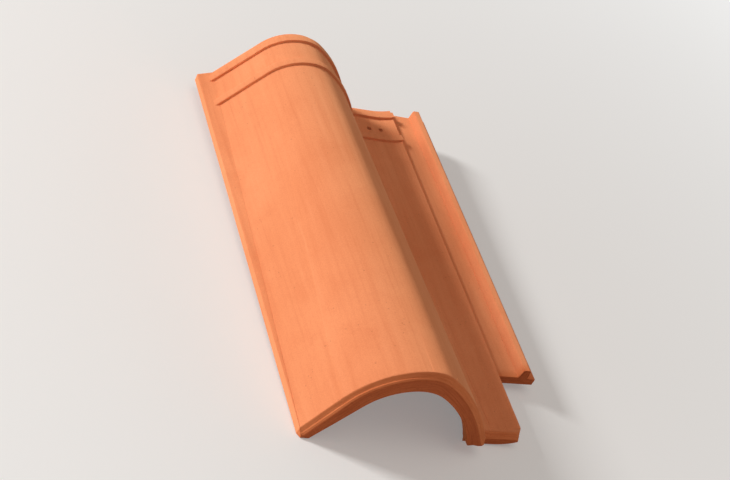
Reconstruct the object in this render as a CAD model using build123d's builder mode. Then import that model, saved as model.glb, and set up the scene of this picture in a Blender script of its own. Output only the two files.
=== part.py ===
"""Interlocking clay roof tile: one fired piece with a roll, a pan, a side lock and hanging nibs.

The tile is drawn as it lies on the roof: X runs across it from the left edge of the roll, Y runs
up the slope from the nose of the roll to the head, and Z is square to the pan, with zero at the
underside of the pan. It is then laid down on the three points that carry it on a level floor,
with its origin at the middle of its underside. All sizes are in millimetres, all angles in degrees.
"""
import os
from copy import copy
from math import acos, cos, radians, sin, tan

from build123d import *

# Laying sizes and gaps
GAUGE = 368.0                  # one course to the next
HEAD_LAP = 78.0                # length that the next course covers
SIDE_LAP = 44.0                # width that the next roll covers
JOINT_GAP = 1.0                # beside the toe of the next roll
LAY_GAP = 2.5                  # under the pan of the next course
LIP_GAP = 2.5                  # between the lip and the roll of the course below
TOE_GAP = 3.0                  # between the toe and the gutter under it
RIB_GAP = 2.0                  # between the rib and the roll that covers it
LENGTH = GAUGE + HEAD_LAP

# One wall follows the roll, the hollow at its foot and the pan, whose underside is at Z = 0
WALL = 11.0
FOOT_RADIUS = 22.0             # hollow between the roll and the pan
PAN_FLAT = 5.4                 # level strip of the pan at the nose
RIM_WIDTH = 23.0               # dish at the right of the pan
RIM_RISE = 4.0
RIM_RADIUS = (RIM_WIDTH**2 + RIM_RISE**2) / (2 * RIM_RISE)

# Roll at its nose: a steep left flank, a wide left shoulder, a tight right one and a bowed flank
NOSE_LEDGE = 0.4               # ledge on the left of the roll
NOSE_TOP = 98.2
NOSE_LEFT_SLOPE = 62.0
NOSE_LEFT_RADIUS = 75.0
NOSE_RIGHT_RADIUS = 45.0
NOSE_SHOULDER_TURN = 34.0      # slope where the right shoulder meets the bowed flank
NOSE_RIGHT_SLOPE = 60.0        # slope where the bowed flank meets the hollow

# Roll at its head, narrow enough to go under the nose of the next course
HEAD_LEDGE = 10.4
HEAD_TOP = 89.5
HEAD_LEFT_SLOPE = 53.0
HEAD_LEFT_RADIUS = 46.0
HEAD_RIGHT_RADIUS = 39.0
HEAD_SHOULDER_TURN = 32.0
HEAD_RIGHT_SLOPE = 67.0

# Side lock under the next roll: a gutter, a rib and a thinner edge
GUTTER_FLOOR = 9.5
RIB_WIDTH = 8.0
RIB_TOP = 19.5
RIB_DRAFT = 1.5
RIB_ROUND = 2.5
EDGE_TOP = 8.0
LOCK_START = HEAD_LAP + 6.0    # the lock stays clear of the head of the course below

# Left toe of the roll, which sits in the gutter of the tile beside it
TOE_BOTTOM = GUTTER_FLOOR + TOE_GAP
TOE_HEIGHT = 8.0
TOE_SLOPE = 20.0
TOE_TOP = TOE_BOTTOM + TOE_HEIGHT

# Moulded nose: a bevel above, a lip below
BEVEL_BACK = 4.5
BEVEL_DROP = 6.5
BEVEL_TOE_BACK = 2.5           # the bevel at the left edge of the toe
BEVEL_TOE_HEIGHT = 2.0         # what is left of the toe's edge below the bevel
PAN_SETBACK = 14.0             # the nose of the pan behind the nose of the roll
NOSE_END_INSET = 16.5          # the nose of the roll ends this far inside the level strip
LIP_LENGTH = 12.0
LIP_RAMP = 16.0
PAN_LIP_DROP = 2.0
COURSE_STEP = WALL + LAY_GAP + PAN_LIP_DROP

# Weather bars across the head
BAR_WIDTH = 8.0
BAR_HEIGHT = 3.0
BAR_FROM_HEAD = (6.0, 42.0)

# Nibs under the head, and nail holes over the batten just below them
NIB_WIDTH = 22.0
NIB_THICKNESS = 14.0
NIB_DEPTH = 12.0
NIB_DRAFT = 8.0
NIB_FROM_HEAD = 13.0
NIB_FROM_SIDE = (82.0, 28.0)
NAIL_DIAMETER = 5.0
NAIL_FROM_HEAD = 31.0
NAIL_FROM_RIM = (33.0, 19.0)

# How far a tool runs past what it cuts, and a joined form into what carries it
OVERRUN = 5.0
BITE = 1.0


class Roll:
    """Upper line of the roll on one cross plane, or a line parallel to it at some depth."""

    def __init__(self, ledge, top, left_slope, left_radius, right_radius, shoulder_turn, right_slope):
        self.left_slope = left_slope
        self.left_radius = left_radius
        self.right_radius = right_radius
        self.shoulder_turn = shoulder_turn
        self.right_slope = right_slope
        self.depth = 0.0
        slope = radians(left_slope)
        left_drop = left_radius * (1 - cos(slope))
        self.top_x = ledge + left_radius * sin(slope) + (top - left_drop - TOE_TOP) / tan(slope)
        self.top_z = top
        turn = radians(shoulder_turn)
        end = radians(right_slope)
        bow_drop = top - right_radius * (1 - cos(turn)) - WALL - FOOT_RADIUS * (1 - cos(end))
        self.bow_radius = bow_drop / (cos(turn) - cos(end))

    def inset(self, depth, drop=0.0):
        """The parallel line this much further in, and this much lower."""
        other = copy(self)
        other.depth += depth
        other.left_radius -= depth
        other.right_radius -= depth
        other.bow_radius -= depth
        other.top_z -= depth + drop
        return other

    def left_touch(self):
        """Where the left flank meets the left shoulder."""
        slope = radians(self.left_slope)
        x = self.top_x - self.left_radius * sin(slope)
        return (x, self.top_z - self.left_radius * (1 - cos(slope)))

    def left(self, z):
        """The left flank at this height."""
        touch_x, touch_z = self.left_touch()
        return (touch_x - (touch_z - z) / tan(radians(self.left_slope)), z)

    def right(self, z):
        """The bowed right flank at this height."""
        turn = radians(self.shoulder_turn)
        shoulder_x = self.top_x + self.right_radius * sin(turn)
        shoulder_z = self.top_z - self.right_radius * (1 - cos(turn))
        slope = acos(cos(turn) - (shoulder_z - z) / self.bow_radius)
        return (shoulder_x + self.bow_radius * (sin(slope) - sin(turn)), z)

    def foot_end(self):
        """Where the hollow at the foot of the roll runs into the level pan."""
        turn = radians(self.shoulder_turn)
        end = radians(self.right_slope)
        across = self.right_radius * sin(turn) + self.bow_radius * (sin(end) - sin(turn))
        return (self.top_x + across + (FOOT_RADIUS + self.depth) * sin(end), WALL - self.depth)

    def toe(self, edge_x, edge_z):
        """Where the sloping top of the left toe meets the left flank."""
        rise = tan(radians(TOE_SLOPE))
        steep = tan(radians(self.left_slope))
        x = (self.left(edge_z)[0] * steep - edge_x * rise) / (steep - rise)
        return (x, edge_z + (x - edge_x) * rise)


def roll_at(y):
    """Roll on the cross plane at this distance from the nose."""
    share = y / LENGTH
    nose = (
        NOSE_LEDGE,
        NOSE_TOP,
        NOSE_LEFT_SLOPE,
        NOSE_LEFT_RADIUS,
        NOSE_RIGHT_RADIUS,
        NOSE_SHOULDER_TURN,
        NOSE_RIGHT_SLOPE,
    )
    head = (
        HEAD_LEDGE,
        HEAD_TOP,
        HEAD_LEFT_SLOPE,
        HEAD_LEFT_RADIUS,
        HEAD_RIGHT_RADIUS,
        HEAD_SHOULDER_TURN,
        HEAD_RIGHT_SLOPE,
    )
    return Roll(*[low + (high - low) * share for low, high in zip(nose, head)])


# The cover width comes to 224: the roll, the level strip, the dish and the joint
nose_roll = roll_at(0)
head_roll = roll_at(LENGTH)
nose_hollow = nose_roll.inset(WALL)
head_hollow = head_roll.inset(WALL)
flat_start = nose_roll.foot_end()[0]
rim_start = flat_start + PAN_FLAT
rim_x = rim_start + RIM_WIDTH
cover_width = rim_x + JOINT_GAP
width = cover_width + SIDE_LAP
nose_end_x = flat_start - NOSE_END_INSET
rib_x = cover_width + head_hollow.left(RIB_TOP)[0] + RIB_GAP
nib_x = [width - from_side for from_side in NIB_FROM_SIDE]
nail_x = [rim_x - from_rim for from_rim in NAIL_FROM_RIM]

# The lip follows the roll of the course below, which stands one step lower
lip_roll = roll_at(GAUGE).inset(-LIP_GAP, COURSE_STEP)


def cross_plane(y):
    """Plane across the tile at this distance from the nose, facing the nose."""
    return Plane.XZ.offset(-y)


def surface_line(roll, *left_points):
    """Line over the roll, through the hollow and across the pan to the rim."""
    flank = Polyline(*left_points, roll.left_touch())
    shoulder = JernArc(flank @ 1, flank % 1, roll.left_radius, -roll.left_slope)
    crown = JernArc(shoulder @ 1, shoulder % 1, roll.right_radius, -roll.shoulder_turn)
    bow = JernArc(crown @ 1, crown % 1, roll.bow_radius, roll.shoulder_turn - roll.right_slope)
    JernArc(bow @ 1, bow % 1, FOOT_RADIUS + roll.depth, roll.right_slope)
    level = WALL - roll.depth
    Line(roll.foot_end(), (rim_start, level))
    RadiusArc((rim_start, level), (rim_x, level + RIM_RISE), -RIM_RADIUS)


def tile_section(outer, inner, edge_x=0.0, edge_top=TOE_TOP):
    """Section of the whole tile between two surface lines."""
    with BuildSketch() as section:
        with BuildLine():
            surface_line(outer, (edge_x, TOE_BOTTOM), (edge_x, edge_top), outer.toe(edge_x, edge_top))
            surface_line(inner, (edge_x, TOE_BOTTOM), inner.left(TOE_BOTTOM))
            Line((rim_x, WALL - outer.depth + RIM_RISE), (rim_x, WALL - inner.depth + RIM_RISE))
        make_face()
    return section.sketch


def arch_area(roll, low):
    """Area under the roll, down to the toe's underside on the left and the pan's on the right."""
    with BuildSketch() as area:
        with BuildLine():
            flank = Line(roll.left(TOE_BOTTOM - low), roll.left_touch())
            shoulder = JernArc(flank @ 1, flank % 1, roll.left_radius, -roll.left_slope)
            crown = JernArc(shoulder @ 1, shoulder % 1, roll.right_radius, -roll.shoulder_turn)
            RadiusArc(crown @ 1, roll.right(-low), roll.bow_radius)
            Line(roll.right(-low), roll.left(TOE_BOTTOM - low))
        make_face()
    return area.sketch


def pan_strip(bottom, top):
    """Strip across the pan, from under the foot of the roll to the rim, with the dish of the pan."""
    with BuildSketch() as strip:
        with BuildLine():
            Polyline((nose_end_x, bottom), (nose_end_x, top), (rim_start, top))
            RadiusArc((rim_start, top), (rim_x, top + RIM_RISE), -RIM_RADIUS)
            Line((rim_x, top + RIM_RISE), (rim_x, bottom + RIM_RISE))
            RadiusArc((rim_x, bottom + RIM_RISE), (rim_start, bottom), RIM_RADIUS)
            Line((rim_start, bottom), (nose_end_x, bottom))
        make_face()
    return strip.sketch


with BuildPart() as lip:
    # Lip under the nose of the roll, which runs out into the wall behind it
    with BuildSketch(cross_plane(0)):
        add(arch_area(nose_roll.inset((WALL + BEVEL_DROP) / 2), 0))
    extrude(amount=-LIP_LENGTH - LIP_RAMP)
    with BuildSketch(cross_plane(0)):
        add(arch_area(lip_roll, OVERRUN))
    extrude(amount=-LIP_LENGTH, mode=Mode.SUBTRACT)
    with BuildSketch(cross_plane(LIP_LENGTH)):
        add(arch_area(lip_roll, OVERRUN))
    with BuildSketch(cross_plane(LIP_LENGTH + LIP_RAMP)):
        add(arch_area(nose_roll.inset(WALL - BITE), OVERRUN))
    loft(ruled=True, mode=Mode.SUBTRACT)

with BuildPart() as nib:
    # Nib, narrower at its foot, rooted in the middle of the wall
    with BuildSketch(Plane.XY.offset(WALL / 2)):
        Rectangle(NIB_WIDTH, NIB_THICKNESS)
    extrude(amount=-(NIB_DEPTH + WALL / 2))
    draft(nib.faces().filter_by(Axis.Z, reverse=True), Plane.XY.offset(WALL / 2), -NIB_DRAFT)

with BuildPart() as tile:
    # Body: one wall from the bevelled nose to the head
    bevel_top = TOE_BOTTOM + BEVEL_TOE_HEIGHT
    with BuildSketch(cross_plane(0)):
        add(tile_section(nose_roll.inset(BEVEL_DROP), nose_hollow, BEVEL_TOE_BACK, bevel_top))
    with BuildSketch(cross_plane(BEVEL_BACK)):
        add(tile_section(nose_roll, nose_hollow))
    with BuildSketch(cross_plane(LENGTH)):
        add(tile_section(head_roll, head_hollow))
    loft(ruled=True)
    add(lip.part)

    # The right end of the roll's nose stops level with the toe
    with BuildSketch(cross_plane(PAN_SETBACK)):
        with BuildLine():
            Polyline(
                (nose_roll.top_x, -OVERRUN),
                (width, -OVERRUN),
                (width, TOE_BOTTOM),
                (nose_roll.top_x, TOE_BOTTOM),
                close=True,
            )
        make_face()
    extrude(amount=PAN_SETBACK + OVERRUN, mode=Mode.SUBTRACT)

    # Lip under the nose of the pan
    with BuildSketch(cross_plane(PAN_SETBACK)):
        add(pan_strip(-PAN_LIP_DROP, WALL / 2))
    extrude(amount=-LIP_LENGTH)

    # The nose of the pan stands back from the nose of the roll, and slopes as the bevel does
    cut_top = WALL + RIM_RISE + OVERRUN
    cut_back = (cut_top - WALL + BEVEL_DROP) * BEVEL_BACK / BEVEL_DROP
    with BuildSketch(Plane.YZ.offset(nose_end_x)):
        with BuildLine():
            Polyline(
                (-OVERRUN, -PAN_LIP_DROP - OVERRUN),
                (PAN_SETBACK, -PAN_LIP_DROP - OVERRUN),
                (PAN_SETBACK, WALL - BEVEL_DROP),
                (PAN_SETBACK + cut_back, cut_top),
                (-OVERRUN, cut_top),
                close=True,
            )
        make_face()
    extrude(amount=width - nose_end_x, mode=Mode.SUBTRACT)

    # Side lock: a gutter, the rib that the next roll covers, and a thinner edge
    with BuildSketch(cross_plane(LOCK_START)) as lock:
        with BuildLine():
            Polyline(
                (rim_start, 0),
                (width, 0),
                (width, EDGE_TOP),
                (rib_x + RIB_WIDTH + RIB_DRAFT, EDGE_TOP),
                (rib_x + RIB_WIDTH, RIB_TOP),
                (rib_x, RIB_TOP),
                (rib_x - RIB_DRAFT, GUTTER_FLOOR),
                (rim_start, GUTTER_FLOOR),
                close=True,
            )
        make_face()
        fillet(lock.vertices().group_by(Axis.Y)[-1], RIB_ROUND)
    extrude(amount=LOCK_START - LENGTH)

    # Weather bars over the roll and across the pan
    for from_head in BAR_FROM_HEAD:
        bar_top = LENGTH - from_head
        bar_roll = roll_at(bar_top)
        with BuildSketch(cross_plane(bar_top)):
            add(tile_section(bar_roll.inset(-BAR_HEIGHT), bar_roll.inset(WALL / 2)))
        extrude(amount=BAR_WIDTH)

    # Nibs that hook over the batten
    with Locations(*[(x, LENGTH - NIB_FROM_HEAD) for x in nib_x]):
        add(nib.part)

    # Nail holes
    with Locations(*[(x, LENGTH - NAIL_FROM_HEAD, WALL) for x in nail_x]):
        Hole(NAIL_DIAMETER / 2)

# The floor touches the toe, the end of the pan's lip and the foot of the inner nib
nib_narrowing = (NIB_DEPTH + WALL / 2) * tan(radians(NIB_DRAFT))
nib_left = nib_x[0] - NIB_WIDTH / 2 + nib_narrowing
nib_front = LENGTH - NIB_FROM_HEAD - NIB_THICKNESS / 2 + nib_narrowing
rest_toe = Vector(0, BEVEL_BACK, TOE_BOTTOM)
rest_lip = Vector(nose_end_x, PAN_SETBACK, -PAN_LIP_DROP)
rest_nib = Vector(nib_left, nib_front, -NIB_DEPTH)
floor_normal = (rest_lip - rest_toe).cross(rest_nib - rest_toe).normalized()
floor = Plane(rest_toe, x_dir=Vector(0, 1, 0).cross(floor_normal), z_dir=floor_normal)
laid_tile = floor.to_local_coords(tile.part)
laid_box = laid_tile.bounding_box()

with BuildPart() as roof_tile:
    with Locations((-laid_box.center().X, -laid_box.center().Y, -laid_box.min.Z)):
        add(laid_tile)

roof_tile.part.label = "roof_tile"
os.makedirs("parts", exist_ok=True)
export_step(roof_tile.part, "parts/roof_tile.step")
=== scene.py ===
"""Clay roof tile in a plain studio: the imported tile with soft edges, moulded noses and fired clay."""
from math import cos, radians

import bmesh
import bpy
from mathutils import Matrix, Vector, noise
from mathutils.bvhtree import BVHTree
from mathutils.kdtree import KDTree


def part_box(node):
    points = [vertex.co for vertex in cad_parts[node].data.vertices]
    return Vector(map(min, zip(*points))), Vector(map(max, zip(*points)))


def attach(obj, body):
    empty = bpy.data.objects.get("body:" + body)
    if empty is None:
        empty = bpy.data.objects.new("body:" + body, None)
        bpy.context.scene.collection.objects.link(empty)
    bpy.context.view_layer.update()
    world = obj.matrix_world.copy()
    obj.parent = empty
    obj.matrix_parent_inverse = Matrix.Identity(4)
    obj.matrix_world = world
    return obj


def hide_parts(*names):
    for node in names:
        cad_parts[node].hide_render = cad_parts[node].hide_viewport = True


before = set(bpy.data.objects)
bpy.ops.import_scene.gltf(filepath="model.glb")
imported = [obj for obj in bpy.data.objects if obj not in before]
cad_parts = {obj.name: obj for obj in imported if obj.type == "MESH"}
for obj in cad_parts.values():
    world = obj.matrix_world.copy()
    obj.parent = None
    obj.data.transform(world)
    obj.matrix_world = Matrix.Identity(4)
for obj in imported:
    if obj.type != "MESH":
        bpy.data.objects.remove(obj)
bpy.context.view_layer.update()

# How the tile lies: its own axes (across, up the slope, square to the pan) as it rests on the floor
ACROSS = Vector((0.996816, -0.001927, 0.079718))
UPSLOPE = Vector((0.0, 0.999708, 0.024167))
SQUARE = ACROSS.cross(UPSLOPE)
NIB_DEPTH = 0.012
LENGTH = 0.446
WIDTH = 0.268

# Across the tile, the roll's nose ends first, then the pan's, then the lock's.
# Each starts this far behind the roll's.
NOSE_END = 0.1783
PAN_END = 0.2236
PAN_SETBACK = 0.014
LOCK_START = 0.084

# The bevel that both noses have, and how its faces and those beside it are told from others
BEVEL_BACK = 0.0045
BEVEL_DROP = 0.0065
BEVEL_FORWARD = BEVEL_DROP / (BEVEL_BACK**2 + BEVEL_DROP**2) ** 0.5
BEVEL_ALIKE = 0.03
BEVEL_DOWN = -0.2
PAN_REACH = 0.008
CREST_FLAT = 0.3
CREST_SHARE = 0.9
BESIDE_FLAT = 0.02
BESIDE_UP = 0.1

# The roll's nose in section, in millimetres: back from the face, and below the outer surface.
# A rounded face, the ledge of the moulding line, a steeper band and a soft upper edge.
ROLL_NOSE = (
    (0.0, 7.6), (0.15, 6.9), (0.45, 6.2), (0.9, 5.35), (1.4, 4.55), (1.55, 4.42), (1.7, 4.36),
    (1.9, 4.33), (2.2, 4.25), (2.4, 4.08), (2.6, 3.74), (3.0, 2.95), (3.5, 1.99), (3.8, 1.42),
    (4.1, 0.92), (4.5, 0.42), (4.9, 0.17), (5.5, 0.03), (6.2, 0.0),
)
# The pan's, in millimetres ahead of its upper edge and below its surface: a thin step near the top
PAN_NOSE = (
    (-1.8, 0.0), (-1.0, 0.03), (-0.4, 0.17), (0.0, 0.41), (0.4, 0.92), (0.7, 1.42), (0.95, 1.95),
    (1.1, 2.22), (1.3, 2.34), (1.5, 2.40), (1.75, 2.53), (4.5, 6.5),
)
PAN_CUT = 0.00035             # spacing of the cuts across the pan's nose, and how far back they go
PAN_CUTS_END = 0.0095
SECTION_BEHIND = 0.0025       # the section reaches this far behind the bevel,
CREST_GAP = 0.0012            # and there this far from the line of its upper edge
NOSE_FADE = (0.0135, 0.0205)  # the ledge dies out between these heights at both ends of the roll's nose

# Softened edges
EDGE_SOFT = 0.0007
EDGE_ANGLE = radians(46)
EDGE_SHORT = 0.0013           # shorter edges stay as they are,
EDGE_LONG = 0.02              # and so do shorter ones than this that meet a nose's bevel
EDGE_SEGMENTS = 2
ROOM_AT = (0.3, 0.5, 0.7)     # places along an edge where the room beside it is measured
ROOM_PLAIN = 1.15             # room it needs, in soft widths, up to a plain edge and up to a soft one
ROOM_SOFT = 2.2
FOLD_ANGLE = radians(115)     # no face of the tile turns further than this from its neighbour
UNFOLD_ROUNDS = 12

# Added points, and the waves of the pressed surface: how deep, and how many to the metre
STATION = 0.0052
STATION_Y = 0.0003
STATION_X = 0.0002
SWELL = 0.00035
WAVES = Vector((22, 9, 22))
RIPPLES = 55
RIPPLE_SHARE = 0.4

# Shading is evened over this distance, between faces that turn less than this from each other,
# and joined at a point between faces that turn less than the second angle
SHADE_REACH = 0.006
SHADE_ALIKE = cos(radians(12))
SHADE_JOINED = cos(radians(50))

# Distances at which points count as one
TOUCH = 1e-6
WELD_CAD = 2e-6
WELD = 1e-5
CUT_TOUCH = 1e-7
FLAT_ANGLE = radians(0.3)

# What is noted on the tile's points
BEND_LIMIT = 400.0            # curvature counted for wear, a metre, and that of a fully worn edge
BEND_WORN = 250
RIM = (0.005, 0.014)          # strip behind a nose from which the depth of its layers is measured
RIM_UP = -0.1
RIM_LOW = 0.007
NOSE_REACH = 0.006
NOSE_EDGE = (0.0053, 0.0043)
FACE_DEPTH = 0.0007
FACE_TURN = (0.4, 0.8)
UNDER = -0.25

# Camera as the photograph has it, turned to the middle of the one tile
CAMERA_PLACE = (-0.70699, -0.89621, 0.76847)
CAMERA_RIGHT = (0.844205, -0.271263, 0.462315)
CAMERA_UP = (-0.158887, 0.697093, 0.699154)
CAMERA_BACK = (-0.511931, -0.663685, 0.545389)
CAMERA_LENS = 71.6


def linear(r, g, b):
    """An 8-bit sRGB colour as Blender's linear colour."""
    parts = [c / 255 for c in (r, g, b)]
    return tuple(c / 12.92 if c <= 0.04045 else ((c + 0.055) / 1.055) ** 2.4 for c in parts) + (1.0,)


# Colours of the clay
CLAY = linear(239, 160, 111)
CLAY_PALE = linear(245, 170, 121)
PATCH = linear(230, 143, 96)
STREAK_DARK = linear(222, 131, 85)
STREAK_PALE = linear(251, 181, 135)
GRAIN = linear(212, 123, 79)
SPECK_DARK = linear(160, 84, 50)
SPECK_PALE = linear(251, 196, 152)
UNDERSIDE = linear(200, 108, 68)
BAND_DARK = linear(216, 118, 66)
BAND_PALE = linear(234, 141, 86)
# Front face of the noses: darker, redder clay that is painted shade, with darker torn marks
SHADED_FACE_DARK = linear(186, 92, 52)
SHADED_FACE_PALE = linear(206, 110, 65)
TORN = linear(150, 70, 40)
WORN = linear(246, 166, 120)

# How fine each pattern of the clay is, a metre; what the press draws out is this much longer
CLOUDS_FINE = 7.0
PATCHES_FINE = 32.0
STREAKS_FINE = 240.0
GRAIN_FINE = 900.0
LAYERS_FINE = 750.0
TORN_FINE = 420.0
WAVES_FINE = 18.0
WEAR_FINE = 120.0
DARK_FINE, DARK_GROUPS = 210.0, 60.0
PALE_FINE, PALE_GROUPS = 160.0, 45.0
PORES_FINE, PORES_GROUPS = 330.0, 80.0
DRAWN_OUT = 0.03
LAYER_DRIFT = 0.05

# Fine relief of the clay: strength, and height in metres
WAVES_BUMP = (0.35, 0.0012)
STREAKS_BUMP = (0.35, 0.00022)
GRAIN_BUMP = (0.5, 0.00010)
PORES_BUMP = (0.6, 0.00035)
LAYERS_BUMP = (0.35, 0.0005)
TORN_BUMP = (0.5, 0.0007)

ROUGHNESS = (0.72, 0.88)
SPECULAR = 0.04
DIFFUSE_ROUGHNESS = 1.0

# Studio
FLOOR = linear(242, 242, 241)
FLOOR_ROUGHNESS = 0.9
FLOOR_HALF = 12.0
FLOOR_GLOW = (0.25, 1.6, 0.25, 1.0)   # from this far off to this far, the floor's own glow goes from low to full
BACKGROUND = linear(247, 247, 246)
KEY = {"place": (-3.4, 1.35, 1.65), "side": 0.8, "power": 157, "colour": (1.0, 0.995, 0.985)}
OVERHEAD = {"place": (-0.3, -0.5, 2.8), "side": 2.2, "power": 14, "colour": (1.0, 0.90, 0.82)}
LAMP_AIM = Vector((0.0, 0.0, 0.03))
SKY = (1.0, 0.84, 0.74, 1.0)
SKY_STRENGTH = 0.22


# The tile

def own_frame(mesh):
    """Turn the mesh to the tile's own axes, with zero at the left edge, the nose and the pan's underside."""
    turn = Matrix((ACROSS, UPSLOPE, SQUARE))
    points = [turn @ v.co for v in mesh.vertices]
    low = [min(p[i] for p in points) for i in range(3)]
    shift = Matrix.Translation((-low[0], -low[1], -low[2] - NIB_DEPTH))
    return shift @ turn.to_4x4()


def first_seen(things):
    """Each thing once, in the order in which it comes, so that every run works in the same order."""
    return list(dict.fromkeys(things))


def cut(bm, faces, place, normal):
    """Cut these faces along a plane."""
    edges = first_seen(e for f in faces for e in f.edges)
    verts = first_seen(v for f in faces for v in f.verts)
    bmesh.ops.bisect_plane(
        bm, geom=list(faces) + edges + verts, dist=CUT_TOUCH, plane_co=place, plane_no=normal,
    )


def between(table, at):
    """Value at this place in a table of places and values."""
    if at <= table[0][0]:
        return table[0][1]
    for (a, low), (b, high) in zip(table, table[1:]):
        if at <= b:
            return low + (high - low) * (at - a) / (b - a)
    return table[-1][1]


def ramp(value, low, high):
    """How far the value is from low to high, between 0 and 1."""
    return min(1.0, max(0.0, (value - low) / (high - low)))


def on_bevel(face):
    """Whether the face is part of the bevel that the roll's nose and the pan's nose have."""
    return abs(-face.normal.y - BEVEL_FORWARD) < BEVEL_ALIKE and face.normal.z > BEVEL_DOWN


def roomy(edge):
    """Whether both faces beside the edge run far enough, square to it, to give room to a soft edge."""
    for loop in edge.link_loops:
        start, end = loop.vert.co, loop.link_loop_next.vert.co
        along = (end - start).normalized()
        inner = loop.face.normal.cross(along)
        for share in ROOM_AT:
            at = start.lerp(end, share)
            for other in loop.face.loops:
                a, b = other.vert.co - at, other.link_loop_next.vert.co - at
                low, high = a.dot(along), b.dot(along)
                if other is loop or low * high > 0 or abs(low - high) < 1e-9:
                    continue
                reach = a.dot(inner) + (b - a).dot(inner) * low / (low - high)
                hard = other.edge.calc_face_angle(0) > EDGE_ANGLE
                if 0 < reach < EDGE_SOFT * (ROOM_SOFT if hard else ROOM_PLAIN):
                    return False
    return edge.calc_length() > EDGE_SHORT


def soften(bm):
    """Round the outward edges, but for the noses' bevels and for places too narrow for it."""
    shaped = {e for f in bm.faces if on_bevel(f) for e in f.edges}
    ends = {v for e in shaped for v in e.verts}
    sharp = [
        e for e in bm.edges
        if len(e.link_faces) == 2 and e.calc_face_angle(0) > EDGE_ANGLE
        and e.is_convex and e not in shaped and roomy(e)
        and (e.calc_length() > EDGE_LONG or not ends.intersection(e.verts))
    ]
    bmesh.ops.bevel(
        bm, geom=sharp, offset=EDGE_SOFT, offset_type="OFFSET", segments=EDGE_SEGMENTS, profile=0.5,
        affect="EDGES", clamp_overlap=False, loop_slide=True,
    )


def nose_faces(bm, start, reach):
    """A nose's bevel, the surface just behind its upper edge, and that edge."""
    bevel = {
        f for f in bm.faces
        if on_bevel(f) and start - WELD < f.calc_center_median().y < start + reach
    }
    borders = {
        e for f in bevel for e in f.edges
        if any(not on_bevel(g) and abs(g.normal.y) < CREST_FLAT for g in e.link_faces)
    }
    low = start + CREST_SHARE * BEVEL_BACK
    top = [e for e in bm.edges if e in borders and min(v.co.y for v in e.verts) > low]
    behind = {f for e in top for f in e.link_faces} - bevel
    return bevel, behind, top


def inward(faces):
    """The way into the clay from these faces, square to the tile's length."""
    across = Vector((0, 0, 0))
    for face in faces:
        across += face.normal
    across.y = 0
    return -across.normalized()


def roll_push(point, _):
    """How far a point of the roll's nose goes in to reach its section, less towards the roll's ends."""
    want = between(ROLL_NOSE, point.y * 1000) / 1000
    have = max(0.0, BEVEL_DROP * (1 - point.y / BEVEL_BACK))
    return max(0.0, want - have) * ramp(point.z, *NOSE_FADE)


def pan_push(point, line):
    """How far a point of the pan's nose goes in, where this line is its upper edge."""
    ahead = between(line, point.x) - point.y
    want = between(PAN_NOSE, ahead * 1000) / 1000
    have = max(0.0, ahead * BEVEL_DROP / BEVEL_BACK)
    return max(0.0, want - have)


def shape_nose(bm, start, reach, cuts, push):
    """Give a nose the section that its mould leaves, by pushing the bevel in."""
    for back in cuts:
        bm.normal_update()
        bevel, behind, _ = nose_faces(bm, start, reach)
        beside = {
            f for g in behind for e in g.edges for f in e.link_faces
            if abs(f.normal.y) < BESIDE_FLAT and f.normal.z > BESIDE_UP
        }
        chosen = bevel | behind | beside
        at = start + back
        crossed = [
            f for f in bm.faces
            if f in chosen and min(v.co.y for v in f.verts) < at < max(v.co.y for v in f.verts)
        ]
        cut(bm, crossed, (0, at, 0), (0, 1, 0))

    bm.normal_update()
    bevel, _, top = nose_faces(bm, start, reach)
    crest = first_seen(v for e in top for v in e.verts)
    line = sorted((v.co.x, v.co.y) for v in crest)
    tree = KDTree(len(crest))
    for i, vert in enumerate(crest):
        tree.insert((vert.co.x, 0.0, vert.co.z), i)
    tree.balance()
    moves = []
    for vert in bm.verts:
        back = vert.co.y - start
        if not -TOUCH < back < reach + SECTION_BEHIND:
            continue
        mine = [f for f in vert.link_faces if f in bevel]
        if not mine:
            _, near, gap = tree.find((vert.co.x, 0.0, vert.co.z))
            if back < BEVEL_BACK - TOUCH or gap > CREST_GAP:
                continue
            mine = [f for f in crest[near].link_faces if f in bevel]
        moves.append((vert, inward(mine) * push(vert.co, line)))
    for vert, move in moves:
        vert.co += move


def shape_noses(bm):
    """Shape the roll's nose and the pan's."""
    backs = [back / 1000 for back, _ in ROLL_NOSE[1:]]
    roll_cuts = [back for back in backs if abs(back - BEVEL_BACK) > TOUCH]
    shape_nose(bm, 0.0, BEVEL_BACK, roll_cuts, roll_push)
    pan_cuts = [k * PAN_CUT for k in range(1, int(PAN_CUTS_END / PAN_CUT))]
    shape_nose(bm, PAN_SETBACK, PAN_REACH, pan_cuts, pan_push)


def put_in_order(bm):
    """Build the same mesh anew in the order of its places, because cuts leave an order that varies."""
    verts = sorted(bm.verts, key=lambda v: v.co[:])
    rank = {v: i for i, v in enumerate(verts)}
    rings = []
    for face in bm.faces:
        ring = [rank[v] for v in face.verts]
        first = ring.index(min(ring))
        rings.append(ring[first:] + ring[:first])
    places = [v.co.copy() for v in verts]
    bm.clear()
    made = [bm.verts.new(place) for place in places]
    for ring in sorted(rings):
        bm.faces.new([made[i] for i in ring])
    bm.verts.index_update()


def divide(bm):
    """Cut the whole tile into small triangles."""
    bmesh.ops.triangulate(bm, faces=[f for f in bm.faces if len(f.verts) > 4])
    for k in range(1, int(LENGTH / STATION)):
        cut(bm, bm.faces[:], (0, k * STATION + STATION_Y, 0), (0, 1, 0))
    for k in range(1, int(WIDTH / STATION)):
        cut(bm, bm.faces[:], (k * STATION + STATION_X, 0, 0), (1, 0, 0))
    put_in_order(bm)
    bmesh.ops.remove_doubles(bm, verts=bm.verts[:], dist=WELD)
    bmesh.ops.triangulate(bm, faces=bm.faces[:])
    put_in_order(bm)


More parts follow.
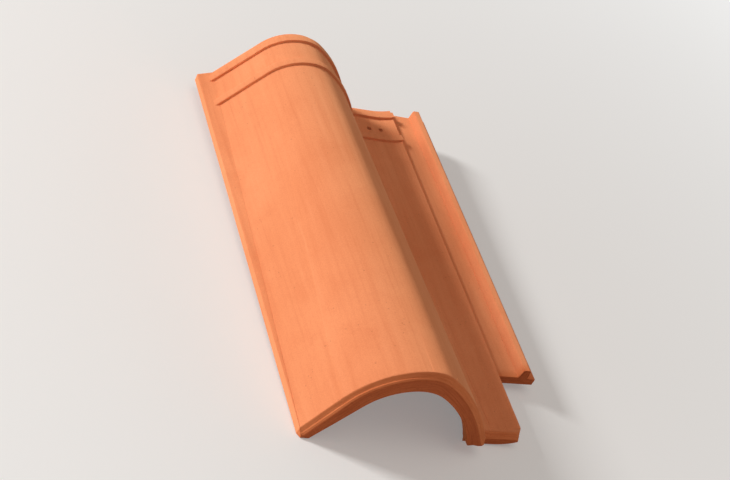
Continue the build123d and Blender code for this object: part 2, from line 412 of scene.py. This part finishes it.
def swell(bm):
    """Let the pressed surface wave a little, inside the size that it has."""
    bm.normal_update()
    for vert in bm.verts:
        p = vert.co
        wave = noise.noise(p * WAVES) + RIPPLE_SHARE * noise.noise(p * RIPPLES)
        vert.co = p - vert.normal * SWELL * (0.5 + 0.5 * max(-1.0, min(1.0, wave)))


def unfold(bm):
    """Draw the few points where soft edges ran into each other to the middle of their neighbours."""
    for _ in range(UNFOLD_ROUNDS):
        bm.normal_update()
        folded = first_seen(v for e in bm.edges if e.calc_face_angle(0) > FOLD_ANGLE for v in e.verts)
        if not folded:
            break
        middles = []
        for vert in folded:
            shares = [1.0 / (e.calc_length() ** 2 + 1e-10) for e in vert.link_edges]
            pulls = [e.other_vert(vert).co * s for e, s in zip(vert.link_edges, shares)]
            middles.append(sum(pulls, Vector()) / sum(shares))
        for vert, middle in zip(folded, middles):
            vert.co = middle


def shade(mesh):
    """Shade smoothly across the flat strips of the curved surfaces, and evenly up to the soft edges."""
    points = [v.co.copy() for v in mesh.vertices]
    corners = [tuple(f.vertices) for f in mesh.polygons]
    normals = [f.normal.copy() for f in mesh.polygons]
    areas = [f.area for f in mesh.polygons]
    tree = BVHTree.FromPolygons(points, corners)
    smooth = []
    for face, own in zip(mesh.polygons, normals):
        total = own * 1e-9
        for _, _, near, gap in tree.find_nearest_range(face.center, SHADE_REACH):
            if normals[near].dot(own) > SHADE_ALIKE:
                total += normals[near] * areas[near] * (1.0 - gap / SHADE_REACH)
        smooth.append(total.normalized())

    around = [[] for _ in points]
    for i, triangle in enumerate(corners):
        for vert in triangle:
            around[vert].append(i)
    shaded = []
    for i, triangle in enumerate(corners):
        for vert in triangle:
            total = smooth[i] * 1e-9
            for near in around[vert]:
                if smooth[near].dot(smooth[i]) > SHADE_JOINED:
                    total += smooth[near] * areas[near]
            shaded.append(total.normalized())
    mesh.shade_smooth()
    mesh.normals_split_custom_set(shaded)


def build_tile(node):
    """The dressed tile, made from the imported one, and the turn into the tile's own axes."""
    mesh = node.data.copy()
    tile = bpy.data.objects.new("terracotta_tile", mesh)
    bpy.context.scene.collection.objects.link(tile)
    into = own_frame(mesh)
    bm = bmesh.new()
    bm.from_mesh(mesh)
    bm.transform(into)
    bmesh.ops.remove_doubles(bm, verts=bm.verts[:], dist=WELD_CAD)
    bmesh.ops.dissolve_limit(bm, angle_limit=FLAT_ANGLE, verts=bm.verts[:], edges=bm.edges[:])
    bm.normal_update()
    soften(bm)
    bm.normal_update()
    shape_noses(bm)
    divide(bm)
    swell(bm)
    unfold(bm)
    bm.transform(into.inverted())
    bm.to_mesh(mesh)
    bm.free()
    low, high = [Vector(c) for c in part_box("roof_tile")]
    for vert in mesh.vertices:
        vert.co = Vector([min(max(c, a), b) for c, a, b in zip(vert.co, low, high)])
    shade(mesh)
    return tile, into


def front(x):
    """How far back the tile starts at this place across it."""
    return 0.0 if x < NOSE_END else PAN_SETBACK if x < PAN_END else LOCK_START


def store(mesh, name, values):
    """Keep one number a point, for the clay to read."""
    layer = mesh.attributes.new(name, "FLOAT", "POINT")
    layer.data.foreach_set("value", values)


def mark(tile, into):
    """Note on each point how worn its edge is, how deep it is in the nose, and which side it is on."""
    mesh = tile.data
    points = [into @ v.co for v in mesh.vertices]
    turn = into.to_3x3()
    normals = [turn @ v.normal for v in mesh.vertices]
    wear = [0.0] * len(points)
    count = [0] * len(points)
    for edge in mesh.edges:
        a, b = edge.vertices
        span = points[b] - points[a]
        bend = (normals[b] - normals[a]).dot(span) / max(span.length_squared, 1e-9)
        for i in (a, b):
            wear[i] += max(-BEND_LIMIT, min(BEND_LIMIT, bend))
            count[i] += 1
    store(mesh, "edge", [ramp(w / max(n, 1), 0, BEND_WORN) for w, n in zip(wear, count)])

    back = [p.y - front(p.x) for p in points]
    rim = [
        p for p, n, y in zip(points, normals, back)
        if RIM[0] < y < RIM[1] and n.z > RIM_UP and p.z > RIM_LOW
    ]
    tree = KDTree(len(rim))
    for i, p in enumerate(rim):
        tree.insert((p.x, 0, p.z), i)
    tree.balance()
    deep = [tree.find((p.x, 0, p.z))[2] if y < NOSE_REACH else 0.0 for p, y in zip(points, back)]
    store(mesh, "deep", deep)
    store(mesh, "nose", [ramp(y, *NOSE_EDGE) for y in back])
    # Front faces of the noses, which the clay paints darker and redder as painted shade
    face = [ramp(-n.y, *FACE_TURN) if y < FACE_DEPTH else 0.0 for y, n in zip(back, normals)]
    store(mesh, "face", face)
    store(mesh, "under", [1.0 if n.z < UNDER else 0.0 for n in normals])


# Fired clay

class Nodes:
    """Short hand for building a material's node tree."""

    def __init__(self, name):
        self.material = bpy.data.materials.new(name)
        self.material.use_nodes = True
        self.tree = self.material.node_tree
        self.shader = self.tree.nodes["Principled BSDF"]

    def new(self, kind, **settings):
        made = self.tree.nodes.new(kind)
        for key, value in settings.items():
            setattr(made, key, value)
        return made

    def link(self, a, b):
        self.tree.links.new(a, b)

    def fill(self, socket, value):
        if isinstance(value, bpy.types.NodeSocket):
            self.link(value, socket)
        else:
            socket.default_value = value

    def attribute(self, name):
        return self.new("ShaderNodeAttribute", attribute_name=name).outputs["Fac"]

    def place(self, scale):
        where = self.new("ShaderNodeTexCoord").outputs["Object"]
        move = self.new("ShaderNodeMapping")
        self.link(where, move.inputs["Vector"])
        move.inputs["Scale"].default_value = scale
        return move.outputs["Vector"]

    def noise(self, vector, scale, detail=3.0, rough=0.55, distort=0.0):
        made = self.new("ShaderNodeTexNoise")
        self.link(vector, made.inputs["Vector"])
        made.inputs["Scale"].default_value = scale
        made.inputs["Detail"].default_value = detail
        made.inputs["Roughness"].default_value = rough
        made.inputs["Distortion"].default_value = distort
        return made.outputs["Fac"]

    def cells(self, vector, scale):
        made = self.new("ShaderNodeTexVoronoi")
        self.link(vector, made.inputs["Vector"])
        made.inputs["Scale"].default_value = scale
        return made.outputs["Distance"]

    def span(self, value, low, high, to_low=0.0, to_high=1.0):
        made = self.new("ShaderNodeMapRange", clamp=True)
        self.fill(made.inputs["Value"], value)
        made.inputs["From Min"].default_value = low
        made.inputs["From Max"].default_value = high
        made.inputs["To Min"].default_value = to_low
        made.inputs["To Max"].default_value = to_high
        return made.outputs["Result"]

    def times(self, a, b):
        made = self.new("ShaderNodeMath", operation="MULTIPLY")
        self.fill(made.inputs[0], a)
        self.fill(made.inputs[1], b)
        return made.outputs[0]

    def blend(self, share, a, b):
        made = self.new("ShaderNodeMix", data_type="RGBA")
        factor, first, second, result = made.inputs[0], made.inputs[6], made.inputs[7], made.outputs[2]
        self.fill(factor, share)
        self.fill(first, a)
        self.fill(second, b)
        return result

    def bump(self, height, size, under=None):
        made = self.new("ShaderNodeBump")
        self.link(height, made.inputs["Height"])
        made.inputs["Strength"].default_value, made.inputs["Distance"].default_value = size
        if under is not None:
            self.link(under, made.inputs["Normal"])
        return made.outputs["Normal"]


def clay_body(clay, plain, along, patches, streaks, grain):
    """Colour of the clay: broad clouds, patches, streaks from the press, grain, dark and pale specks."""
    clouds = clay.noise(plain, CLOUDS_FINE, 3.0, 0.5, 0.3)
    colour = clay.blend(clay.span(clouds, 0.35, 0.65), CLAY, CLAY_PALE)
    colour = clay.blend(clay.span(patches, 0.50, 0.75, 0.0, 0.30), colour, PATCH)
    colour = clay.blend(clay.span(streaks, 0.50, 0.70, 0.0, 0.24), colour, STREAK_DARK)
    colour = clay.blend(clay.span(streaks, 0.45, 0.25, 0.0, 0.24), colour, STREAK_PALE)
    colour = clay.blend(clay.span(grain, 0.38, 0.62, 0.0, 0.20), colour, GRAIN)
    dark = clay.times(clay.span(clay.cells(plain, DARK_FINE), 0.16, 0.09),
                      clay.span(clay.noise(plain, DARK_GROUPS), 0.54, 0.61))
    pale = clay.times(clay.span(clay.cells(along, PALE_FINE), 0.10, 0.05),
                      clay.span(clay.noise(plain, PALE_GROUPS), 0.55, 0.63))
    colour = clay.blend(clay.times(dark, 0.3), colour, SPECK_DARK)
    return clay.blend(clay.times(pale, 0.5), colour, SPECK_PALE)


def clay_layers(clay, plain):
    """Layers that follow the nose's outline, for the band and the torn face of the nose."""
    where = clay.new("ShaderNodeSeparateXYZ")
    clay.link(plain, where.inputs[0])
    deep = clay.new("ShaderNodeCombineXYZ")
    clay.link(clay.times(where.outputs["X"], LAYER_DRIFT), deep.inputs["X"])
    clay.link(clay.times(where.outputs["Z"], LAYER_DRIFT), deep.inputs["Y"])
    clay.link(clay.attribute("deep"), deep.inputs["Z"])
    return clay.noise(deep.outputs[0], LAYERS_FINE, 2.0, 0.6, 0.15)


def fired_clay():
    clay = Nodes("terracotta")
    plain = clay.place((1, 1, 1))
    along = clay.place((1, DRAWN_OUT, 1))
    patches = clay.noise(plain, PATCHES_FINE, 4.0, 0.6, 0.4)
    streaks = clay.noise(along, STREAKS_FINE, 3.0, 0.6)
    grain = clay.noise(plain, GRAIN_FINE, 2.0, 0.6)
    layers = clay_layers(clay, plain)
    torn = clay.noise(plain, TORN_FINE, 4.0, 0.7, 0.6)
    nose = clay.attribute("nose")
    face = clay.attribute("face")

    # Faces that point down are darker; the nose is drawn in layers; its front face is painted darker and redder
    # as shade, with torn marks of the clay on it
    colour = clay_body(clay, plain, along, patches, streaks, grain)
    colour = clay.blend(clay.times(clay.attribute("under"), 0.5), colour, UNDERSIDE)
    band = clay.blend(clay.span(layers, 0.32, 0.68), BAND_DARK, BAND_PALE)
    colour = clay.blend(clay.times(nose, 0.7), colour, band)
    # Painted shade: the nose's front face is darker and redder, with torn marks of the clay on top
    shaded_face = clay.blend(clay.span(layers, 0.32, 0.68), SHADED_FACE_DARK, SHADED_FACE_PALE)
    shaded_face = clay.blend(clay.span(torn, 0.52, 0.70, 0.0, 0.4), shaded_face, TORN)
    colour = clay.blend(clay.times(face, 0.75), colour, shaded_face)

    # Worn edges are paler
    worn = clay.times(clay.span(clay.attribute("edge"), 0.55, 1.0),
                      clay.span(clay.noise(plain, WEAR_FINE), 0.38, 0.6, 0.25, 0.8))
    colour = clay.blend(clay.times(worn, 0.6), colour, WORN)
    clay.link(colour, clay.shader.inputs["Base Color"])

    clay.link(clay.span(patches, 0.3, 0.7, *ROUGHNESS), clay.shader.inputs["Roughness"])
    clay.shader.inputs["Specular IOR Level"].default_value = SPECULAR
    clay.shader.inputs["Diffuse Roughness"].default_value = DIFFUSE_ROUGHNESS

    pores = clay.times(clay.span(clay.cells(plain, PORES_FINE), 0.0, 0.2, -1.0, 0.0),
                       clay.span(clay.noise(plain, PORES_GROUPS), 0.5, 0.6))
    normal = clay.bump(clay.noise(plain, WAVES_FINE, 2.0), WAVES_BUMP)
    normal = clay.bump(streaks, STREAKS_BUMP, normal)
    normal = clay.bump(grain, GRAIN_BUMP, normal)
    normal = clay.bump(pores, PORES_BUMP, normal)
    normal = clay.bump(clay.times(layers, nose), LAYERS_BUMP, normal)
    normal = clay.bump(clay.times(torn, face), TORN_BUMP, normal)
    clay.link(normal, clay.shader.inputs["Normal"])
    return clay.material


# Studio

def pale_floor():
    """A pale floor that keeps the shadow near the tile and runs into the pale background far off."""
    made = Nodes("studio_floor")
    made.shader.inputs["Base Color"].default_value = FLOOR
    made.shader.inputs["Roughness"].default_value = FLOOR_ROUGHNESS
    where = made.new("ShaderNodeVectorMath", operation="LENGTH")
    made.link(made.place((1, 1, 1)), where.inputs[0])
    far = made.span(where.outputs["Value"], *FLOOR_GLOW)
    seen = made.times(far, made.new("ShaderNodeLightPath").outputs["Is Camera Ray"])
    glow = made.new("ShaderNodeEmission")
    glow.inputs["Color"].default_value = BACKGROUND
    mix = made.new("ShaderNodeMixShader")
    made.link(seen, mix.inputs[0])
    made.link(made.shader.outputs[0], mix.inputs[1])
    made.link(glow.outputs[0], mix.inputs[2])
    made.link(mix.outputs[0], made.tree.nodes["Material Output"].inputs["Surface"])
    return made.material


def floor():
    mesh = bpy.data.meshes.new("studio_floor")
    half = FLOOR_HALF
    corners = [(-half, -half, 0), (half, -half, 0), (half, half, 0), (-half, half, 0)]
    mesh.from_pydata(corners, [], [(0, 1, 2, 3)])
    made = bpy.data.objects.new("studio_floor", mesh)
    bpy.context.scene.collection.objects.link(made)
    mesh.materials.append(pale_floor())


def area(name, place, side, power, colour):
    """A square lamp that is aimed at the tile."""
    lamp = bpy.data.lights.new(name, "AREA")
    lamp.shape = "RECTANGLE"
    lamp.size = lamp.size_y = side
    lamp.energy = power
    lamp.color = colour
    made = bpy.data.objects.new(name, lamp)
    bpy.context.scene.collection.objects.link(made)
    made.location = place
    made.rotation_euler = (LAMP_AIM - Vector(place)).to_track_quat("-Z", "Y").to_euler()


def sky():
    """Soft light from all around, in front of which the camera sees the pale background."""
    world = bpy.data.worlds.new("studio")
    bpy.context.scene.world = world
    world.use_nodes = True
    tree = world.node_tree
    light = tree.nodes["Background"]
    light.inputs["Color"].default_value = SKY
    light.inputs["Strength"].default_value = SKY_STRENGTH
    backdrop = tree.nodes.new("ShaderNodeBackground")
    backdrop.inputs["Color"].default_value = BACKGROUND
    path = tree.nodes.new("ShaderNodeLightPath")
    mix = tree.nodes.new("ShaderNodeMixShader")
    tree.links.new(path.outputs["Is Camera Ray"], mix.inputs[0])
    tree.links.new(light.outputs[0], mix.inputs[1])
    tree.links.new(backdrop.outputs[0], mix.inputs[2])
    tree.links.new(mix.outputs[0], tree.nodes["World Output"].inputs["Surface"])


def studio():
    floor()
    area("key", **KEY)
    area("overhead", **OVERHEAD)
    sky()


def camera():
    lens = bpy.data.cameras.new("photograph")
    made = bpy.data.objects.new("photograph", lens)
    bpy.context.scene.collection.objects.link(made)
    turn = Matrix((CAMERA_RIGHT, CAMERA_UP, CAMERA_BACK)).transposed()
    made.matrix_world = Matrix.Translation(CAMERA_PLACE) @ turn.to_4x4()
    lens.sensor_width = 36.0
    lens.lens = CAMERA_LENS
    lens.clip_start = 0.01
    bpy.context.scene.camera = made


tile, into = build_tile(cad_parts["roof_tile"])
mark(tile, into)
clay = fired_clay()
tile.data.materials.clear()
tile.data.materials.append(clay)
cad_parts["roof_tile"].data.materials.clear()
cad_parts["roof_tile"].data.materials.append(clay)
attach(tile, "root")
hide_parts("roof_tile")
studio()
camera()
bpy.context.scene.view_settings.view_transform = "Standard"
